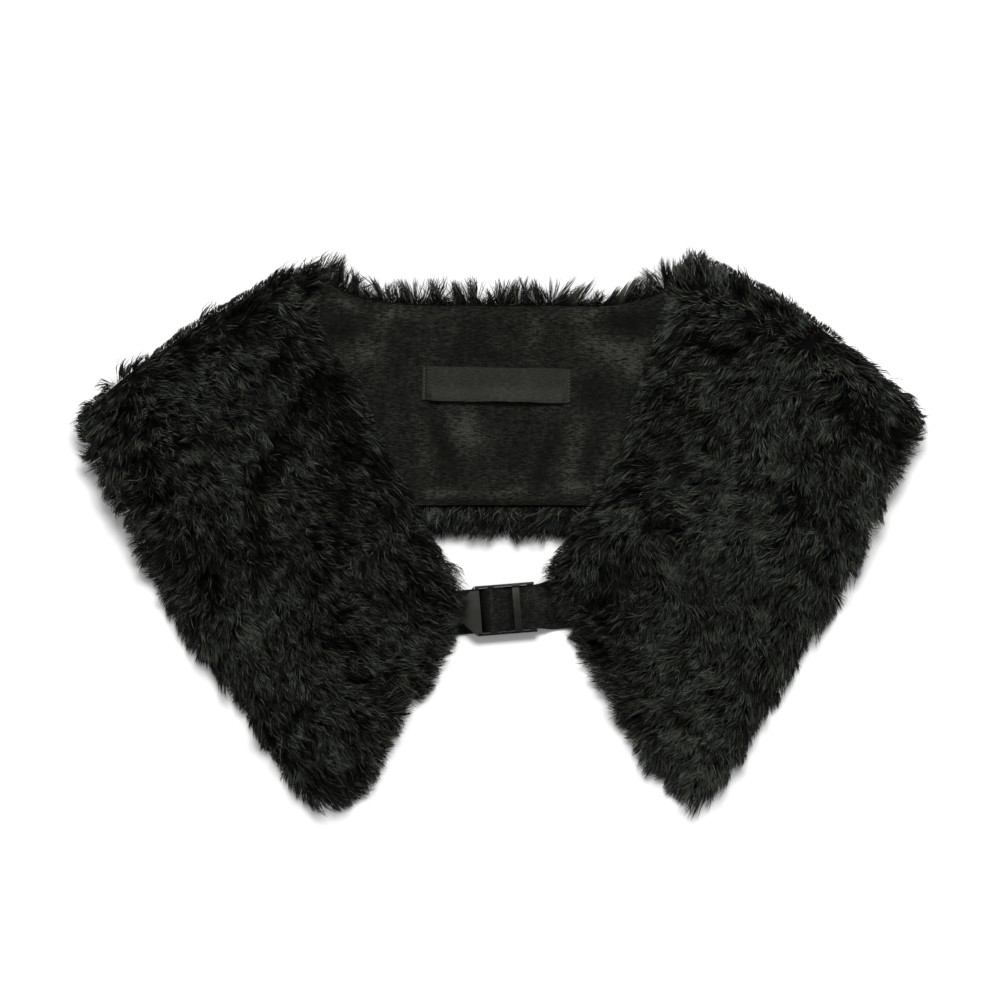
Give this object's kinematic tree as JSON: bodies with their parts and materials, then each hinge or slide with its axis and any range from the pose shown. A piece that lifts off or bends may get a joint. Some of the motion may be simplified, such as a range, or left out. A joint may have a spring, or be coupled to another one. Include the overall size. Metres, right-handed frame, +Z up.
{
  "type": "fur collar",
  "caption": "Detachable pointed collar of black curly fur, lined in plain cloth, laid flat with its webbing strap buckled at the front neck.",
  "frame": {"origin": "on the table, under the middle of the collar's box as laid flat", "axes": "+X to the collar's right as seen from above, +Y to the back neck edge, +Z up from the table"},
  "size_m": [0.482, 0.3192, 0.0235],
  "materials": {
    "fur": "curly pile about 12 mm deep on a skin",
    "lining": "plain slub weave",
    "label": "woven ribbon, bare",
    "webbing": "close woven webbing",
    "plastic": "moulded, satin"
  },
  "bodies": {
    "root": {"back_fur": "fur", "back_lining": "lining", "left_front_fur": "fur", "right_front_fur": "fur", "left_front_lining": "lining", "right_front_lining": "lining", "neck_label": "label", "left_webbing": "webbing", "right_webbing": "webbing", "buckle_housing": "plastic", "buckle_frame": "plastic"}
  },
  "joints": []
}
